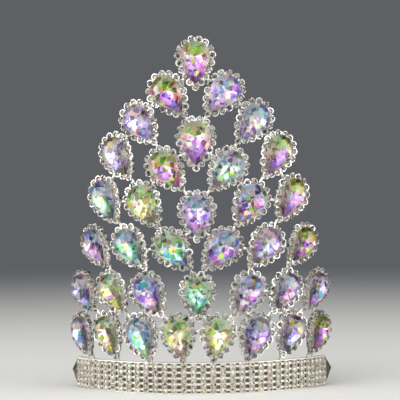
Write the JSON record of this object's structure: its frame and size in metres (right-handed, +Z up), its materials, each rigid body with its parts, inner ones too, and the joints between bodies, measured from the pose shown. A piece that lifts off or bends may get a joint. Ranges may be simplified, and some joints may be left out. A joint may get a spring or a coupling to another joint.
{
  "type": "rhinestone crown",
  "caption": "Tall arched pageant crown of pear-cut crystals in small-stone halos, soldered over a curved band set with round stones",
  "frame": {"origin": "middle of the crown's footprint, on the surface that the band stands on", "axes": "+Z up, -Y the crown's front, +X to the right as seen from the front"},
  "size_m": [0.1564, 0.0524, 0.2031],
  "materials": {
    "silver_metal": "bright silver plate over soldered brass",
    "halo_chain": "small clear stones in silver claw cups",
    "clear_crystal": "clear cut glass with a foil back",
    "coated_crystal": "cut glass with a rainbow coating and a foil back"
  },
  "bodies": {
    "root": {"frame": "silver_metal", "halos": "halo_chain", "band_stones": "clear_crystal", "pear_1c": "coated_crystal", "pear_2r": "coated_crystal", "pear_2l": "coated_crystal", "pear_3r": "coated_crystal", "pear_3l": "coated_crystal", "pear_3c": "coated_crystal", "pear_4br": "coated_crystal", "pear_4bl": "coated_crystal", "pear_4ar": "coated_crystal", "pear_4al": "coated_crystal", "pear_5br": "coated_crystal", "pear_5bl": "coated_crystal", "pear_5ar": "coated_crystal", "pear_5al": "coated_crystal", "pear_5c": "coated_crystal", "pear_6dr": "coated_crystal", "pear_6dl": "coated_crystal", "pear_6br": "coated_crystal", "pear_6bl": "coated_crystal", "pear_6ar": "coated_crystal", "pear_6al": "coated_crystal", "pear_7dr": "coated_crystal", "pear_7dl": "coated_crystal", "pear_7br": "coated_crystal", "pear_7bl": "coated_crystal", "pear_7ar": "coated_crystal", "pear_7al": "coated_crystal", "pear_7c": "coated_crystal", "pear_8er": "coated_crystal", "pear_8el": "coated_crystal", "pear_8dr": "coated_crystal", "pear_8dl": "coated_crystal", "pear_8br": "coated_crystal", "pear_8bl": "coated_crystal", "pear_8ar": "coated_crystal", "pear_8al": "coated_crystal"}
  },
  "joints": []
}
